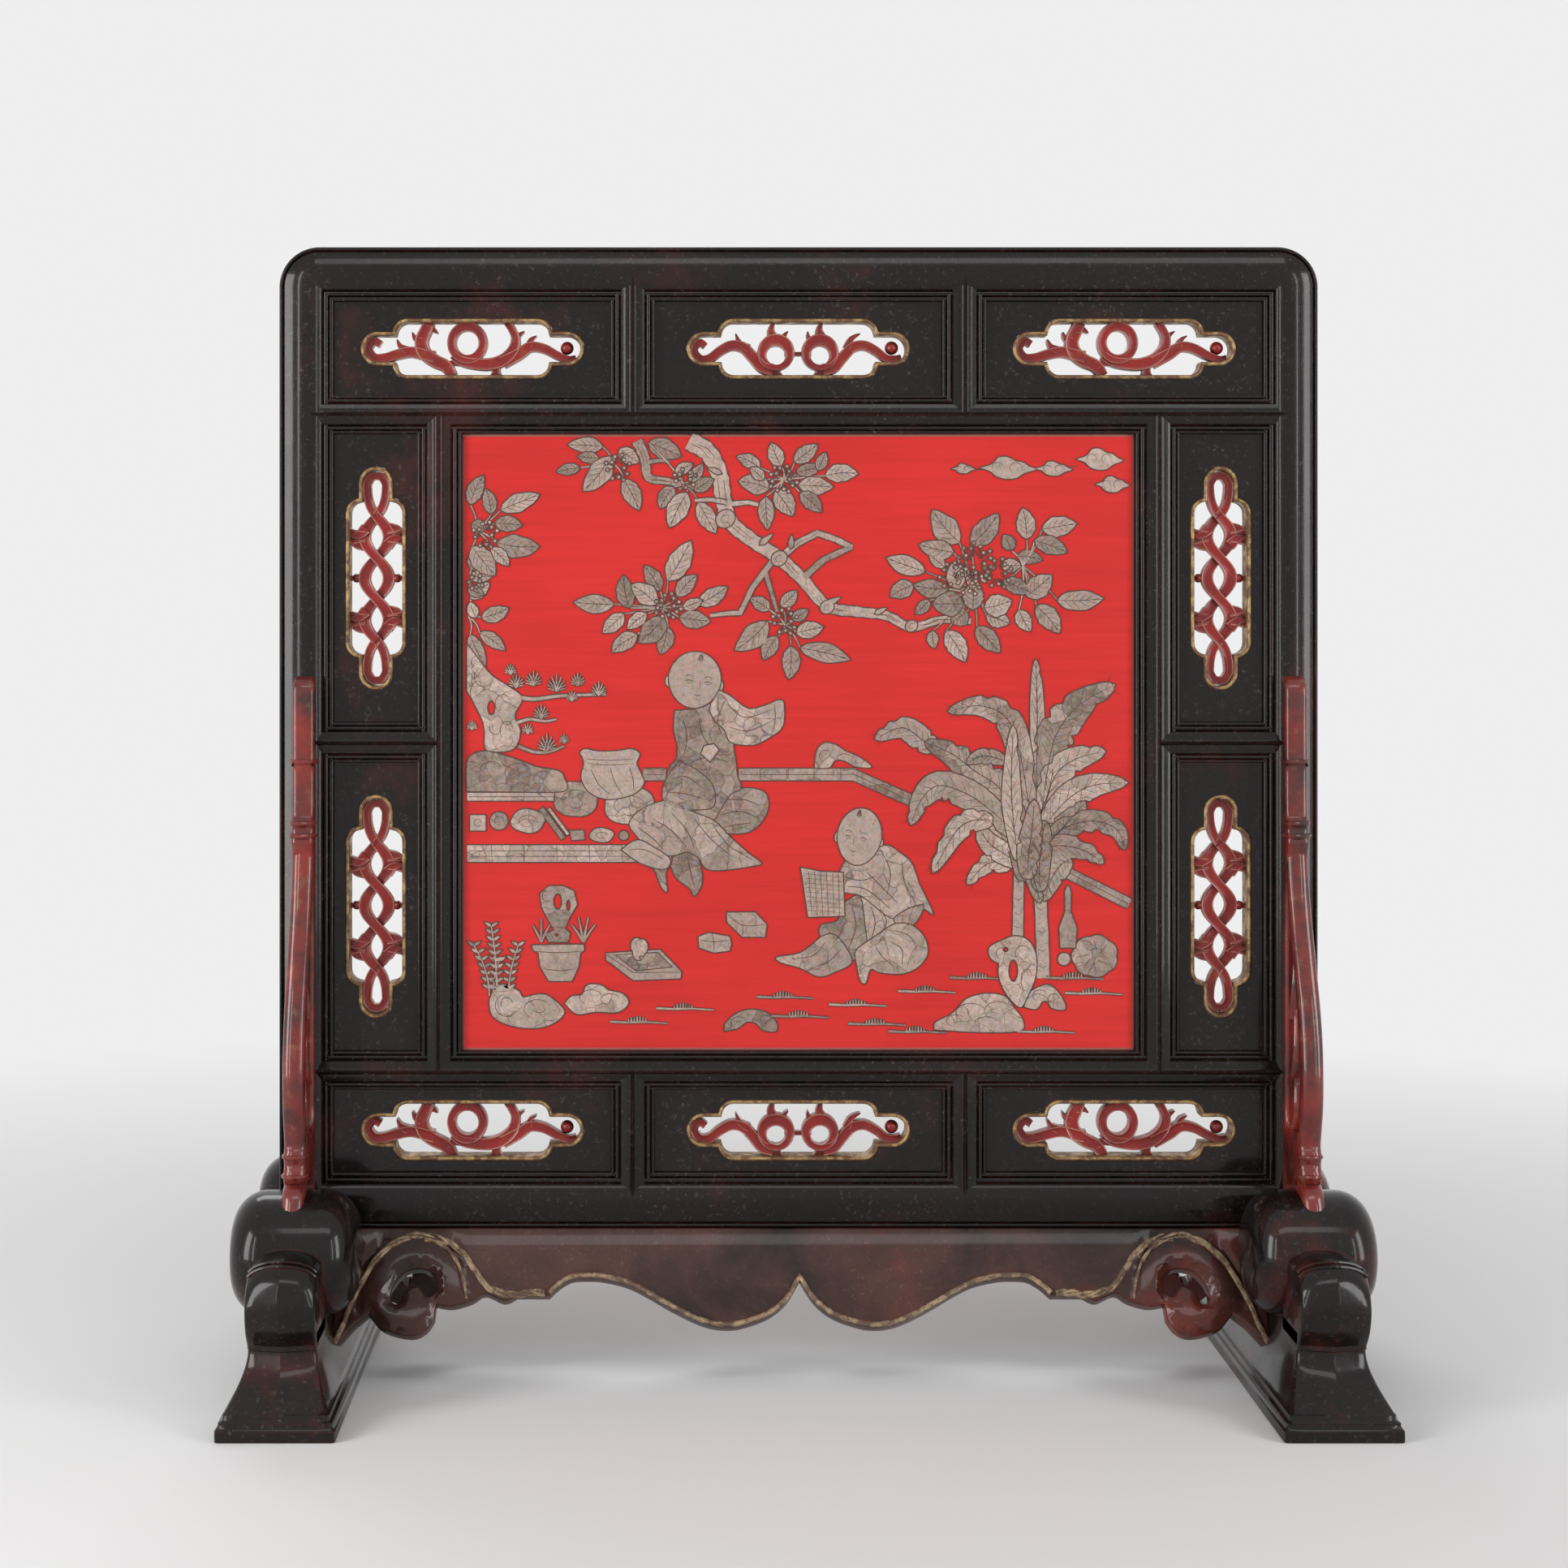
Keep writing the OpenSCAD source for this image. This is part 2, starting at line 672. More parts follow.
module scroll_top_left() { scroll(top_bay(-1), false, "crook"); }
module scroll_top_middle() { scroll(top_bay(0), false, "twin"); }
module scroll_top_right() { scroll(top_bay(1), false, "crook"); }
module scroll_bottom_left() { scroll(bottom_bay(-1), false, "crook"); }
module scroll_bottom_middle() { scroll(bottom_bay(0), false, "twin"); }
module scroll_bottom_right() { scroll(bottom_bay(1), false, "crook"); }
module scroll_left_upper() { scroll(side_bay(-1, true), true, "twist"); }
module scroll_left_lower() { scroll(side_bay(-1, false), true, "twist"); }
module scroll_right_upper() { scroll(side_bay(1, true), true, "twist"); }
module scroll_right_lower() { scroll(side_bay(1, false), true, "twist"); }

module bead_top_left() { gilt_bead(top_bay(-1), false); }
module bead_top_middle() { gilt_bead(top_bay(0), false); }
module bead_top_right() { gilt_bead(top_bay(1), false); }
module bead_bottom_left() { gilt_bead(bottom_bay(-1), false); }
module bead_bottom_middle() { gilt_bead(bottom_bay(0), false); }
module bead_bottom_right() { gilt_bead(bottom_bay(1), false); }
module bead_left_upper() { gilt_bead(side_bay(-1, true), true); }
module bead_left_lower() { gilt_bead(side_bay(-1, false), true); }
module bead_right_upper() { gilt_bead(side_bay(1, true), true); }
module bead_right_lower() { gilt_bead(side_bay(1, false), true); }

// Red panel: tongued all round, with a bevelled front face
module bevel_profile(length) {
  linear_extrude(length + 2 * past)
    polygon([[-past, -past], [bevel_w, -past], [0, bevel_fall], [-past, bevel_fall]]);
}
module red_panel() {
  wide = panel_w - 2 * fit_gap;
  high = panel_h - 2 * fit_gap;
  color(red)
    difference() {
      union() {
        bay_slab(panel_bay, 2 * core_half, -fit_gap);
        bay_slab(panel_bay, tongue_t, tongue_d - fit_gap);
      }
      both_sides()
        translate([-wide / 2, -core_half, z_panel - past])
          bevel_profile(high);
      for (flip = [0, 1])
        translate([0, 0, z_middle])
          mirror([0, 0, flip])
            translate([-wide / 2 - past, -core_half, -high / 2])
              rotate([90, 0, 90]) mirror([1, -1, 0]) bevel_profile(wide);
    }
}

// Shell pieces, drawn flat with the middle of the red panel as origin, for a panel 350.8
// wide. Those with grow are drawn wider by it to clear their own place among the others.
shell_gap = 0.4;
seam_w = 0.5;
module on_panel() {
  face_w = panel_w - 2 * bevel_w - 2 * shell_gap;
  face_h = panel_h - 2 * bevel_w - 2 * shell_gap;
  color(shell)
    translate([0, -core_half, z_middle])
      rotate([90, 0, 0])
        linear_extrude(shell_t)
          intersection() {
            square([face_w, face_h], center = true);
            scale(panel_w / 350.8) children();
          }
}

// A blade along a line of points, widest before its middle and pointed at its end
function blade(p, w) =
  let (n = len(p) - 1, side = [for (i = [0:n]) [-heading(p, i)[1], heading(p, i)[0]]],
    half = [for (i = [0:n]) w / 2 * sin(180 * pow(i / n, 0.85))])
  concat([for (i = [0:n]) p[i] + side[i] * half[i]],
    [for (i = [n - 1:-1:1]) p[i] - side[i] * half[i]]);
blade_steps = 7;
function straight(q) = [for (i = [0:blade_steps]) [q[0] + (q[2] - q[0]) * i / blade_steps,
  q[1] + (q[3] - q[1]) * i / blade_steps]];
module leaf(q, grow = 0) { polygon(blade(straight(q), q[4] + 2 * grow)); }
module bough(points, w0, w1) { polygon(band(curve(points, 4), w0, w1)); }
module seam(points) { polygon(band(curve(points, 4), seam_w, seam_w)); }
module dot(x, y, r) { translate([x, y]) circle(r, $fn = 24); }

// Leaves and petals of each cluster: base, tip, width
leaves_upper_left = [[-102, 154, -120, 155, 6], [-114, 143, -126, 141, 5],
  [-98, 149, -112, 131, 10], [-93, 155, -84, 146, 7], [-91, 136, -83, 121, 8],
  [-78, 157, -61, 150, 10], [-66, 132, -73, 121, 6.5], [-54, 131, -45, 137, 6],
  [-58, 130, -67, 112, 9], [-52, 123, -43, 108, 8], [-64, 141, -56, 145, 4]];
leaves_upper = [[-20, 144, -32, 149, 5], [-8, 144, -14, 155, 6], [-1, 148, 10, 155, 6],
  [12, 142, 14, 151, 4], [15, 139, 31, 140, 7], [-1, 142, 10, 143, 4.5],
  [-1, 134, 17, 134, 7], [3, 128, 12, 120, 6], [-16, 129, -31, 136, 9],
  [-14, 130, -5, 119, 8], [-19, 122, -16, 111, 6], [-19, 138, -24, 143, 4]];
leaves_left = [[-66, 86, -56, 105, 9], [-70, 81, -80, 91, 6], [-89, 69, -91, 86, 7],
  [-70, 72, -85, 80, 8], [-97, 72, -117, 73, 7.5], [-92, 66, -102, 57, 6],
  [-81, 67, -89, 60, 4.5], [-61, 78, -53, 87, 6], [-51, 72, -38, 80, 7],
  [-62, 62, -47, 63, 7], [-69, 64, -83, 52, 9], [-85, 55, -97, 47, 7],
  [-66, 57, -72, 46, 6]];
leaves_middle = [[-16, 70, -25, 75, 5], [-17, 63, -33, 48, 9], [-10, 73, -1, 78, 5],
  [0, 56, 13, 59, 7], [1, 48, 26, 43, 7.5], [-10, 54, -17, 45, 6], [-3, 48, -5, 33, 7]];
leaves_right = [[86, 106, 70, 120, 10], [90, 104, 104, 119, 9], [80, 101, 63, 103, 8],
  [66, 89, 47, 96, 8], [58, 84, 49, 76, 8], [77, 80, 61, 81, 7], [71, 92, 70, 99, 4],
  [119, 107, 117, 122, 8], [128, 112, 145, 114, 8], [124, 105, 140, 99, 7],
  [111, 101, 108, 108, 5], [114, 98, 126, 95, 5], [120, 73, 132, 87, 9],
  [136, 74, 159, 75, 8], [125, 70, 136, 58, 8], [115, 67, 120, 59, 6],
  [108, 82, 120, 77, 6], [93, 58, 105, 48, 8], [75, 57, 87, 42, 8],
  [68, 57, 71, 49, 5], [66, 73, 62, 67, 4], [88, 72, 73, 72, 10], [91, 68, 93, 83, 7],
  [98, 70, 110, 74, 9], [82, 82, 82, 91, 6]];
leaves_far_left = [[-173, 124, -164, 138, 6], [-158, 121, -163, 132, 5],
  [-151, 123, -135, 129, 7], [-157, 114, -145, 113, 6], [-155, 103, -136, 102, 9],
  [-158, 100, -151, 93, 5], [-172, 99, -158, 87, 9], [-172, 114, -164, 111, 6],
  [-172, 75, -162, 83, 5], [-168, 63, -172, 72, 4], [-165, 64, -151, 70, 6],
  [-164, 55, -153, 48, 5]];
leaf_sets = [leaves_upper_left, leaves_upper, leaves_left, leaves_middle, leaves_right,
  leaves_far_left];

// Berries round a middle: x, y, how many, distance, radius
berry_rings = [[-94, 143, 5, 4, 1.7], [-9, 137, 5, 4, 1.7], [-66, 70, 4, 3.4, 1.5],
  [-7, 64, 5, 4, 1.7], [93, 92, 6, 5, 2], [104, 91, 4, 4, 1.8], [-162, 108, 4, 3.2, 1.6]];
buds = [[-82, 117], [-42, 103], [2, 115], [-33, 81], [-42, 57], [-162, 141], [78, 91]];
bud_r = 2.2;

module branches_flat(grow) {
  g = 2 * grow;
  bough([[-57, 162], [-47, 152], [-41, 139], [-39, 126], [-35.5, 115], [-25, 106], [-10, 96],
    [2, 85], [15, 71], [31, 68], [46, 66], [59, 60], [75, 64], [90, 63]], 9 + g, 3 + g);
  bough([[-86, 162], [-80, 148], [-78, 136.6]], 5 + g, 3.4 + g);
  bough([[-79, 138], [-68, 136], [-58, 133.5]], 3.2 + g, 2.4 + g);
  bough([[-11, 95], [0, 104], [10, 109], [20, 105], [28, 101.5]], 3 + g, 2.6 + g);
  bough([[27, 102.5], [13, 95], [3, 86]], 2.6 + g, 2.8 + g);
  bough([[-13, 95], [-24, 80.5], [-30, 66.6]], 2.6 + g, 2.2 + g);
  bough([[-29.4, 68], [-38, 67], [-46, 66]], 2 + g, 1.8 + g);
  bough([[-17, 88], [-14, 78], [-12, 71]], 2.2 + g, 1.6 + g);
  bough([[-37, 124], [-26, 125], [-17, 124]], 2.6 + g, 1.6 + g);
  bough([[-37, 125], [-46, 126.5], [-51, 126]], 2.2 + g, 1.4 + g);
}
module shell_branches() { on_panel() branches_flat(0); }
module shell_leaves() {
  on_panel()
    difference() {
      union() {
        for (set = leaf_sets) for (q = set) leaf(q);
        for (b = buds) dot(b[0], b[1], bud_r);
        for (b = berry_rings) {
          dot(b[0], b[1], b[4]);
          for (i = [1:b[2]]) let (a = 360 * i / b[2])
            dot(b[0] + b[3] * cos(a), b[1] + b[3] * sin(a), b[4]);
        }
      }
      branches_flat(shell_gap);
    }
}

// Boys: a round head and a robe that seams divide into its pieces
robe_on_terrace = curve([[-62, 18], [-50, 15], [-39, 26], [-25, 19], [-8, 21.5], [-7.5, 8],
  [-20, 0], [-33, -2], [-32, -21], [-24, -27], [-18, -36], [-26, -44], [-38, -46],
  [-20, -62], [-45, -66], [-54, -79], [-58, -71], [-70, -56], [-84, -42], [-73, -27],
  [-65, -8], [-62, 18]], 3);
module boy_on_terrace() {
  dot(-54, 33, 14);
  difference() {
    polygon(robe_on_terrace);
    seam([[-36, 28], [-33, 15], [-36, 4], [-30, -5]]);
    seam([[-18, 24], [-17, 12], [-20, -4]]);
    seam([[-68, -22], [-52, -18], [-38, -22], [-28, -20]]);
    seam([[-50, -20], [-46, -34], [-36, -48]]);
    seam([[-78, -50], [-60, -46], [-46, -52], [-38, -70]]);
    seam([[-60, 20], [-54, 8], [-56, -6], [-50, -20]]);
  }
  polygon(curve([[-92, -58], [-84, -53], [-74, -58], [-66, -64], [-72, -68], [-84, -63],
    [-92, -58]], 3));
}
robe_with_book = curve([[26, -66], [46, -56], [57, -62], [61, -75], [70, -89], [60, -93],
  [66, -104], [67, -114], [57, -121], [41, -120], [34, -125], [29, -113], [12, -121],
  [-11, -113], [11, -99], [25, -94], [27, -78], [26, -66]], 3);
module boy_with_book() {
  translate([32, -49]) scale(1.08) circle(11, $fn = 48);
  difference() {
    polygon([[1, -65], [12, -69], [21, -66], [23, -88], [14, -91], [4, -88]]);
    seam([[11, -68], [13, -80], [13.5, -93]]);
  }
  difference() {
    polygon(robe_with_book);
    seam([[29, -62], [36, -74], [34, -86], [26, -95]]);
    seam([[52, -56], [48, -70], [54, -84], [68, -90]]);
    seam([[12, -98], [30, -101], [48, -94], [60, -93]]);
    seam([[40, -100], [44, -110], [38, -122]]);
    seam([[22, -100], [26, -108], [30, -114]]);
  }
}
module shell_boys() {
  on_panel() {
    boy_on_terrace();
    boy_with_book();
  }
}

// Banana plant: leaves that arch out of one crown, each from its tip to its root, with its
// width, and two stems below
plant_leaves = [
  [[79, 18], [98, 17], [113, 6], [121, -16], [122, -50], 12],
  [[126, 44], [125.5, 30], [125, 16], [124, -10], 5.4],
  [[166, 30], [149, 21], [136, 3], [128, -22], [123, -50], 13],
  [[41, 5.6], [58, 5.6], [76, -8], [97, -26], [113, -46], 10],
  [[59, -42], [68, -28], [86, -33], [105, -47], [116, -58], 9],
  [[72, -68], [83, -54], [99, -52], [116, -58], 10],
  [[89, -76], [102, -66], [118, -59], 8],
  [[173, -15], [154, -11], [139, -28], [128, -54], 12],
  [[174, -41], [158, -31], [143, -39], [127, -56], 9],
  [[172, -62], [157, -50], [141, -51], [124, -58], 9],
  [[152, -74], [141, -63], [124, -58], 8],
  [[137, -84], [133, -72], [122, -56], 8]
];
function leaf_path(q) = curve(flipped([for (i = [0:len(q) - 2]) q[i]]), 4);
module banana_flat(grow) {
  g = 2 * grow;
  for (q = plant_leaves) polygon(blade(leaf_path(q), q[len(q) - 1] + g));
  bough([[114.5, -102], [114, -86], [116, -60]], 6 + g, 5 + g);
  bough([[128, -122], [127, -104], [123, -60]], 6.6 + g, 5.4 + g);
  polygon(curve([[120, 2 + grow], [113 - grow, -20], [110 - grow, -45], [113 - grow, -62],
    [121, -66 - grow], [129 + grow, -60], [131 + grow, -42], [127 + grow, -18],
    [120, 2 + grow]], 4));
}
module shell_banana() {
  on_panel()
    difference() {
      banana_flat(0);
      seam([[118, 0], [114.5, -30], [116.5, -68]]);
      seam([[123, 0], [122, -30], [122, -68]]);
      seam([[106, -70], [116, -64], [128, -64], [136, -70]]);
    }
}

// Outline of a shape bulged by a few round steps, for rocks and clouds
lump_steps = 6;
function lumpy(rx, ry, lumps, depth, turn) =
  [for (i = [0:lump_steps * lumps - 1]) let (a = 360 * i / (lump_steps * lumps),
      k = 1 - depth + depth * abs(sin(lumps * a / 2 + turn)))
    [rx * k * cos(a), ry * k * sin(a)]];
module lump(x, y, rx, ry, lumps, depth, turn) {
  translate([x, y]) polygon(lumpy(rx, ry, lumps, depth, turn));
}
module bar_piece(x0, y0, x1, y1, w) { polygon(band([[x0, y0], [x1, y1]], w, w)); }
module terrace() {
  bar_piece(-81, -16.8, -71, -16.8, 5.4);
  bar_piece(-30, -16.8, 30, -16.8, 5.4);
  bar_piece(31, -18.5, 63, -31, 5);
  bar_piece(141, -69, 173, -84.5, 5);
  difference() {
    bar_piece(-176, -58, -94, -58, 8.4);
    seam([[-178, -58], [-135, -58], [-90, -58]]);
  }
  bar_piece(-176, -30, -126, -30, 3.6);
}
module clouds() {
  lump(109, 143.5, 14, 5, 5, 0.25, 20);
  lump(86, 143, 3.4, 1.6, 3, 0.2, 20);
  lump(133, 142, 7, 2.6, 3, 0.2, 20);
  lump(157, 147.5, 12, 4.6, 4, 0.2, 20);
  lump(163, 134, 9.5, 3.6, 3, 0.2, 50);
}
module rocks() {
  polygon(curve([[-176, 50], [-168, 45], [-160, 35], [-151, 28], [-145, 22], [-147, 8],
    [-146, -3], [-157, -4], [-165, -3], [-166, 8], [-176, 26], [-176, 50]], 3));
  polygon(curve([[-175, -9], [-166, -7], [-156, -8], [-146, -8], [-134, -12], [-121, -17],
    [-123, -25], [-150, -26], [-175, -25], [-175, -9]], 3));
  lump(-141.5, -138, 18, 11, 6, 0.2, 30);
  lump(-104, -134, 16, 7.6, 5, 0.2, 0);
  lump(-25, -144, 12.6, 6.6, 5, 0.25, 0);
  polygon(curve([[71, -149], [84, -138], [99, -130], [112, -137], [116, -150], [92, -152],
    [71, -149]], 3));
  difference() {
    lump(128.5, -134, 11, 8.6, 5, 0.2, 10);
    dot(128.5, -135, 4);
  }
  difference() {
    lump(108.5, -115, 10, 15, 7, 0.18, 10);
    translate([107.5, -119]) scale(1.2) circle(2.6, $fn = 24);
  }
  polygon(curve([[10, -12], [11, -6], [18, -1], [24, -3], [31, -9], [38, -13], [28, -11],
    [20, -8], [17, -12], [10, -12]], 3));
}
module vessels() {
  polygon(curve([[-110, -8], [-104, -5], [-92, -5], [-86, -8], [-82, -16], [-86, -29],
    [-94, -35], [-103, -35], [-112, -29], [-114, -16], [-110, -8]], 3));
  dot(-117, -34, 3.4);
  dot(-80, -35, 3.4);
  polygon([[-135, -105], [-111, -105], [-113, -110], [-116, -122], [-130, -122], [-133, -110]]);
  difference() {
    lump(-123, -90, 8.6, 13, 6, 0.2, 0);
    translate([-122, -94]) circle(2.6, $fn = 24);
  }
  polygon([[-98, -108], [-70, -104], [-62, -110], [-64, -120], [-92, -121]]);
  polygon([[-53, -98], [-36, -98], [-35, -101], [-37, -108], [-51, -109], [-54, -101]]);
  polygon([[-33, -92], [-24, -89], [-17, -93], [-17, -99], [-27, -102], [-33, -99]]);
  lump(154.5, -112, 7, 6.4, 6, 0.1, 0);
  dot(141, -114, 2.8);
  polygon(curve([[140, -76], [141.4, -76], [142, -88], [145, -97], [144, -106], [137, -106],
    [136.4, -97], [139.4, -88], [140, -76]], 3));
  square_at(-167, -42, 7.6);
  dot(-156, -41, 4.4);
  lump(-141, -41, 8, 6, 4, 0.1, 45);
  bar_piece(-134, -35, -124, -49, 2.6);
  square_at(-115, -48, 5);
  lump(-103, -48, 5, 3, 4, 0.1, 45);
}
module square_at(x, y, w) { translate([x, y]) square(w, center = true); }

// Needles, grass and ferns: blades that fan out from one point
module tuft(x, y, count, spread, l, w) {
  for (i = [0:count - 1]) {
    a = 90 + spread * (i / (count - 1) - 0.5);
    long = l * (1 - 0.25 * abs(a - 90) / 90);
    root = 0.3 * l;
    leaf([x + root * cos(a), y + root * sin(a), x + long * cos(a), y + long * sin(a), w]);
  }
}
sprigs = [[-138, 32], [-121, 30], [-106, 28], [-131, 14], [-137, 4], [-128, -3]];
grass = [[34, -138], [62, -150], [2, -146], [88, -122], [152, -132], [143, -126]];
module plants() {
  tuft(-157, -124, 5, 130, 30, 5);
  for (p = sprigs) tuft(p[0], p[1] - 3, 3, 140, 8, 2.4);
  for (p = grass) tuft(p[0], p[1], 3, 90, 11, 2.2);
}
module shell_garden() {
  on_panel()
    difference() {
      union() {
        terrace();
        clouds();
        rocks();
        vessels();
        plants();
      }
      banana_flat(shell_gap);
    }
}

// Feet. Half width at a height, for the front view and the side view of the base.
flare_steps = 7;
base_step = 1.5;
line_z = base_edge + 3;
flare_z = line_z + 1;
function flare(full, ankle) =
  concat([[full, 0], [full, base_edge], [full - base_step, base_edge + base_step],
      [full - base_step, line_z]],
    [for (i = [0:flare_steps]) let (t = i / flare_steps)
      [full - 2 * base_step - (full - 2 * base_step - ankle) * sin(90 * t),
        flare_z + (ankle_z - flare_z) * t]]);
tongue_bulge = 11;
tongue_arch = 9;
arch_steps = 8;
tongue_half = foot_l / 2 - 23;
drum_y = frame_t / 2 + fit_gap + drum_r;
function leg_side() =
  concat(flare(foot_l / 2, tongue_half),
    [[tongue_half + 2, ankle_z + 1], [tongue_half + 2, ankle_z + 3]],
    curve([[tongue_half + 2, ankle_z + 3], [tongue_half + 8, ankle_z + 12],
      [tongue_half + tongue_bulge, ankle_z + 24], [tongue_half + 8, tongue_top - 8],
      [tongue_half + 1, tongue_top]], 4),
    [[drum_y + 24, tongue_top], [drum_y + 24, stile_seat], [0, stile_seat]]);
module leg_slab(narrow) {
  points = [for (p = leg_side()) [p[0] * narrow, p[1]]];
  rotate([90, 0, 90])
    linear_extrude(2 * foot_w, center = true)
      polygon(concat(points, flipped(mirrored(points))));
}
module leg_front() {
  points = concat(flare(foot_w / 2, ankle_w / 2),
    [for (i = [0:arch_steps - 1]) let (a = 90 * i / arch_steps)
      [ankle_w / 2 * cos(a), tongue_top - tongue_arch * (1 - sin(a))]],
    [[0, tongue_top]]);
  rotate([90, 0, 0])
    linear_extrude(2 * foot_l, center = true)
      polygon(concat(points, flipped(mirrored(points))));
}
module base_slab() {
  keep_z = flare_z + 2;
  intersection() {
    leg_slab(1);
    leg_front();
    translate([-foot_w, -foot_l, 0]) cube([2 * foot_w, 2 * foot_l, keep_z]);
  }
}
module leg() {
  intersection() {
    rotate([0, 0, leg_ridge_angle]) leg_slab(cos(leg_ridge_angle));
    rotate([0, 0, -leg_ridge_angle]) leg_slab(cos(leg_ridge_angle));
    leg_front();
  }
}
drum_steps = 9;
module drum(grow = 0) {
  half = drum_t / 2;
  flat = drum_r - drum_shoulder;
  r = drum_shoulder + grow;
  rotate([0, 90, 0])
    rotate_extrude($fn = 96)
      polygon(concat([[0, -half - grow]],
        arc(flat, -half + drum_shoulder, r, -90, 0, drum_steps),
        arc(flat, half - drum_shoulder, r, 0, 90, drum_steps), [[0, half + grow]]));
}
module foot() {
  color(black)
    difference() {
      translate([-stile_x, 0, 0]) {
        base_slab();
        leg();
        for (side = [-1, 1]) translate([0, side * drum_y, drum_z]) drum();
      }
      foot_tenon(fit_gap);
      apron_space();
    }
}
module foot_left() { foot(); }
module foot_right() { mirror([1, 0, 0]) foot(); }

// Aprons. Half outline of the lower edge from the middle, as distance and height, drawn for
// a reach of 244 under a rail at 77.5
apron_end = stile_x - ankle_w / 2 + apron_let_in;
apron_shelf = stile_x - ankle_w / 2 - fit_gap;
let_in_top = 1.11 * ankle_z;
let_in_foot = 0.57 * ankle_z;
apron_edge = [[0, 53.8], [7, 44], [16.7, 37.3], [30, 33.2], [38.2, 32.4], [46.4, 33.2],
  [54.7, 35.7], [66.2, 40.7], [79.4, 47.3], [89.3, 51.4], [100.8, 53.8], [109, 54.3],
  [117.3, 53.8], [123.9, 50.5], [128.8, 46.4]];
apron_scroll = [[145.4, 46.4], [152, 44], [161.8, 47.3], [168.3, 44.1], [178.3, 41.6],
  [186.7, 42.5]];
apron_curl = [[186.7, 36], [191.3, 31], [199, 28.3], [212.9, 31.2], [221, 38]];
curl_hole = [[187, 48], [188, 55], [194, 58.3], [203, 57], [209, 51], [210, 44.5],
  [206, 42.8], [203, 48], [197, 50.5], [192, 46]];
function slope_of(z) = (z - rail_base) / cos(apron_slope);
function drawn(p) = [for (q = p) [q[0] * apron_end / 244, q[1] * rail_base / 77.5]];
function hung(p) = [for (q = p) [q[0], slope_of(q[1])]];
apron_lower = concat(curve(apron_edge, 3), curve(apron_scroll, 3), curve(apron_curl, 3),
  [[228, 33]]);
apron_half = hung(concat(drawn(apron_lower),
  [[apron_end - 3, let_in_foot], [apron_end, let_in_foot], [apron_end, let_in_top],
    [apron_shelf, let_in_top], [apron_shelf, rail_base]]));
apron_back_y = frame_t / 2 - side_fall;

// Lays a drawing along the slope under the front of the bottom rail
module on_apron(thick) {
  translate([0, -apron_back_y, rail_base])
    rotate([90 - apron_slope, 0, 0])
      translate([0, 0, -thick]) linear_extrude(thick) children();
}
module below_rail() {
  translate([-x_out, -foot_l, 0]) cube([2 * x_out, 2 * foot_l, rail_base]);
}
module front_apron() {
  color(black)
    intersection() {
      difference() {
        on_apron(apron_t)
          difference() {
            union() {
              polygon(concat(apron_half, flipped(mirrored(apron_half))));
              translate([-apron_shelf, 0]) square([2 * apron_shelf, apron_t]);
            }
            both_sides() polygon(hung(drawn(curve(concat(curl_hole, [curl_hole[0]]), 2))));
          }
        both_sides() translate([-stile_x, -drum_y, drum_z]) drum(fit_gap);
      }
      below_rail();
    }
}
module apron_space() {
  for (side = [0, 1])
    mirror([0, side, 0])
      translate([0, -apron_back_y, rail_base])
        rotate([90 - apron_slope, 0, 0])
          translate([-apron_end - fit_gap, slope_of(let_in_foot) - fit_gap, -apron_t - fit_gap])
            cube([foot_w, slope_of(let_in_top) - slope_of(let_in_foot) + 2 * fit_gap,
              apron_t + 2 * fit_gap]);
}
module apron_front() { front_apron(); }
module apron_back() { mirror([0, 1, 0]) front_apron(); }

// Spandrels: outline in the side view, forward from the stile and up from the drum top,
// drawn for a height of 260 over a drum of radius 31
spandrel_seat = drum_z + drum_r;
spandrel_tip_r = 8.6;
spandrel_outline = concat(
  [[0, -18], [51, -18]],
  curve([[51, -6.5], [49, -3], [42, -0.5], [38.5, 4]], 3),
  curve([[38.5, 4], [40, 9], [38.5, 14]], 3),
  curve([[38.5, 14], [39.5, 18.5], [37.5, 23]], 3),
  curve([[37.5, 23], [41, 32], [44.5, 46], [45, 61], [43, 77], [37.5, 95], [29, 114],
    [20.5, 134], [14, 152], [11, 169]], 4),
  curve([[11, 169], [13.5, 175], [11, 181]], 4),
  curve([[11, 181], [12, 184.5], [9, 188], [8.4, 196], [8.6, 213]], 3),
  curve([[8.6, 213], [10, 216], [8.6, 219]], 3),
  arc(0, 260 - spandrel_tip_r, spandrel_tip_r, 0, 90, 6));
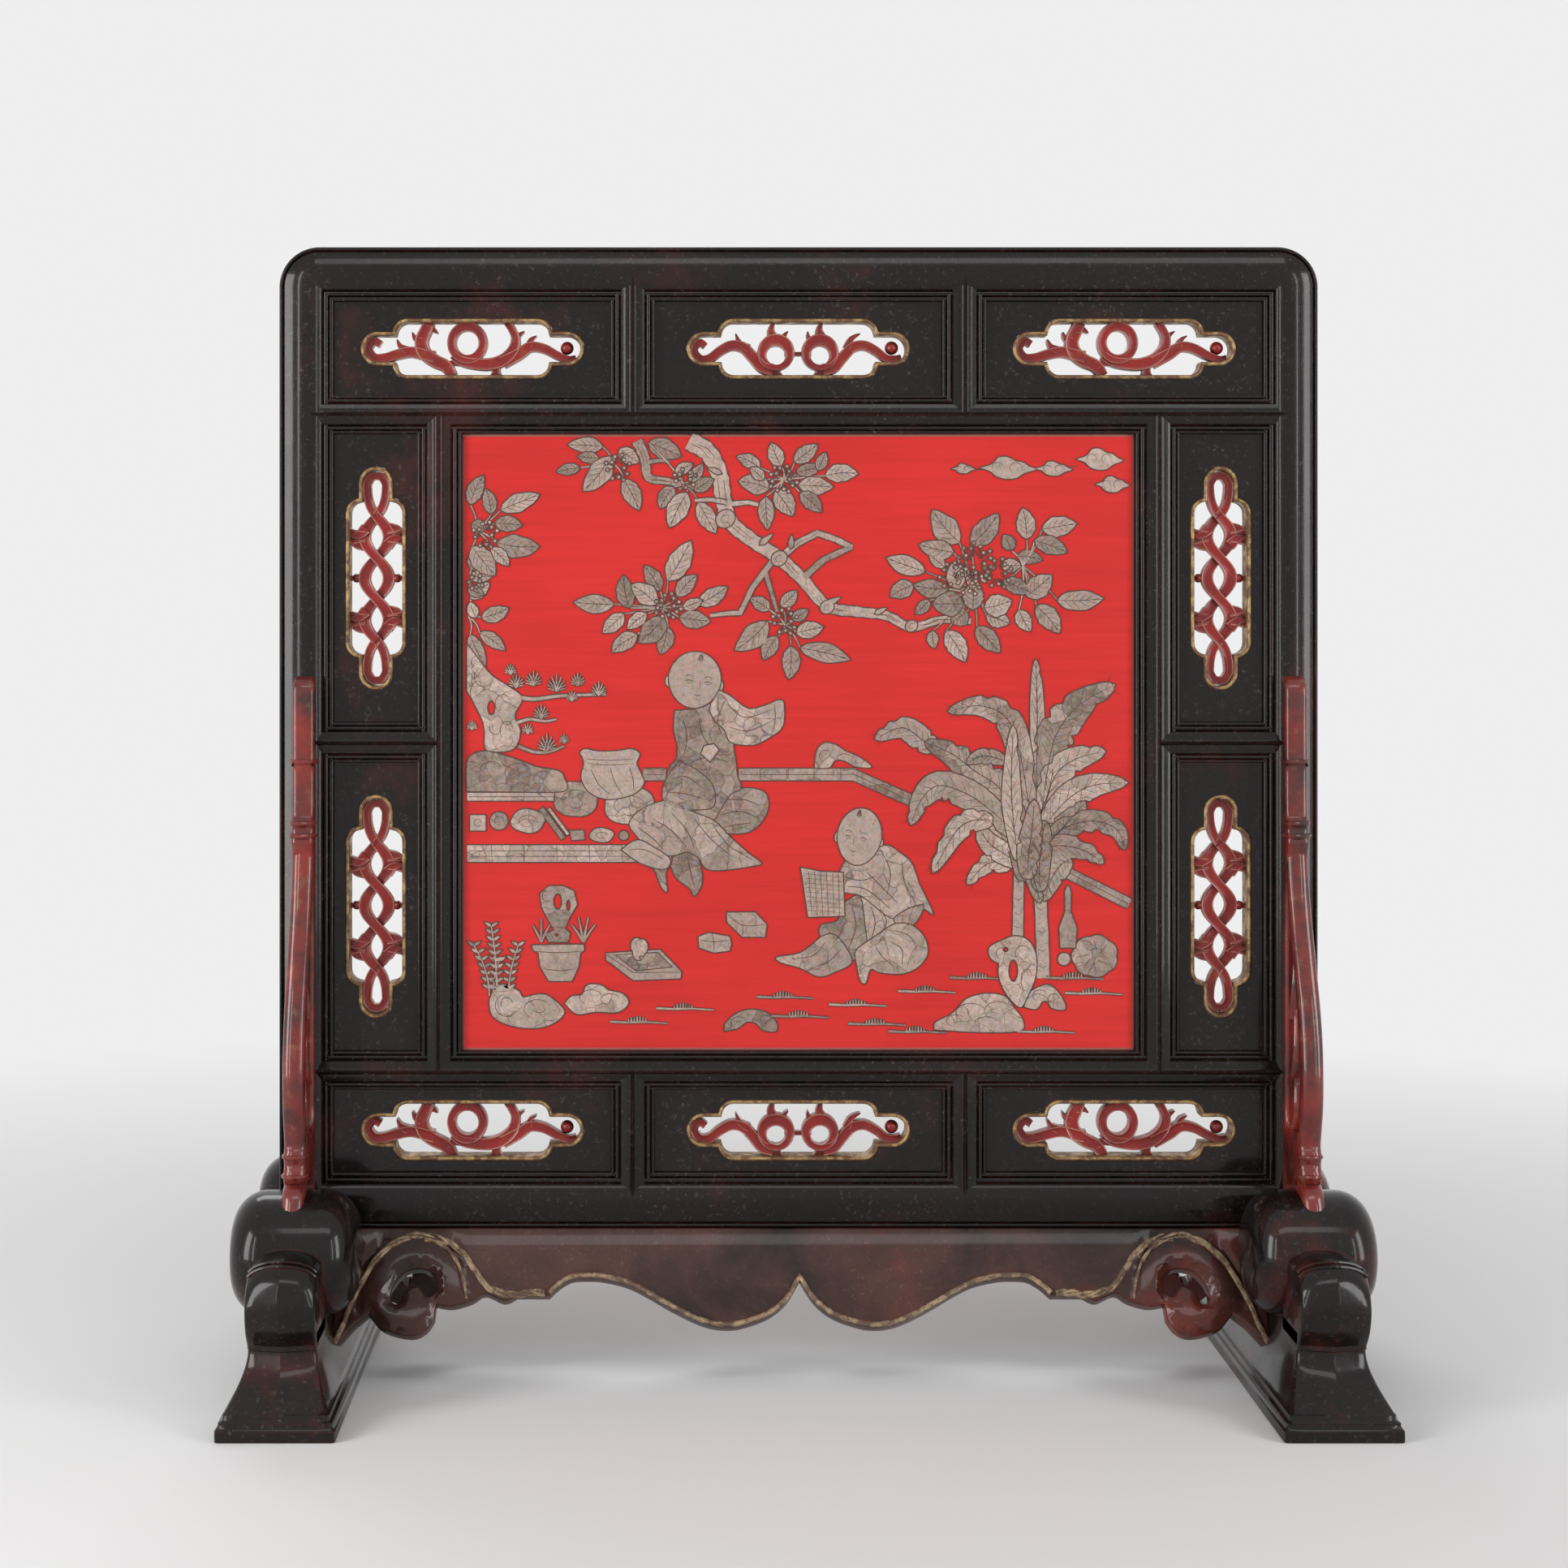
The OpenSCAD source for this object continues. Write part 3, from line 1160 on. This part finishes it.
spandrel_hole = curve([[8, 148], [14.5, 128], [22, 110], [30, 92], [34.5, 74], [36, 60],
  [35, 46], [31, 34], [24, 27], [14, 25.5], [7, 30], [11.5, 38], [14, 47], [9, 56],
  [12.5, 62], [9, 68], [14, 77], [13.5, 87], [8, 98], [6, 112], [6, 132], [8, 148]], 3);
function raised(p) =
  [for (q = p) [q[0] * drum_r / 31, spandrel_seat + q[1] * spandrel_h / 260]];
module spandrel() {
  color(worn_red)
    translate([-stile_x, -frame_t / 2 - fit_gap, 0])
      rotate([90, 0, -90])
        linear_extrude(spandrel_t, center = true)
          difference() {
            polygon(raised(spandrel_outline));
            polygon(raised(spandrel_hole));
            translate([drum_r, drum_z]) circle(drum_r + fit_gap, $fn = 96);
          }
}
module spandrel_front_left() { spandrel(); }
module spandrel_front_right() { mirror([1, 0, 0]) spandrel(); }
module spandrel_back_left() { mirror([0, 1, 0]) spandrel(); }
module spandrel_back_right() { mirror([1, 0, 0]) mirror([0, 1, 0]) spandrel(); }

stile_left();
stile_right();
top_rail();
bottom_rail();
inner_rail_upper();
inner_rail_lower();
inner_stile_left();
inner_stile_right();
top_divider_left();
top_divider_right();
bottom_divider_left();
bottom_divider_right();
side_divider_left();
side_divider_right();
board_top_left();
board_top_middle();
board_top_right();
board_bottom_left();
board_bottom_middle();
board_bottom_right();
board_left_upper();
board_left_lower();
board_right_upper();
board_right_lower();
scroll_top_left();
scroll_top_middle();
scroll_top_right();
scroll_bottom_left();
scroll_bottom_middle();
scroll_bottom_right();
scroll_left_upper();
scroll_left_lower();
scroll_right_upper();
scroll_right_lower();
bead_top_left();
bead_top_middle();
bead_top_right();
bead_bottom_left();
bead_bottom_middle();
bead_bottom_right();
bead_left_upper();
bead_left_lower();
bead_right_upper();
bead_right_lower();
red_panel();
shell_branches();
shell_leaves();
shell_boys();
shell_banana();
shell_garden();
foot_left();
foot_right();
apron_front();
apron_back();
spandrel_front_left();
spandrel_front_right();
spandrel_back_left();
spandrel_back_right();
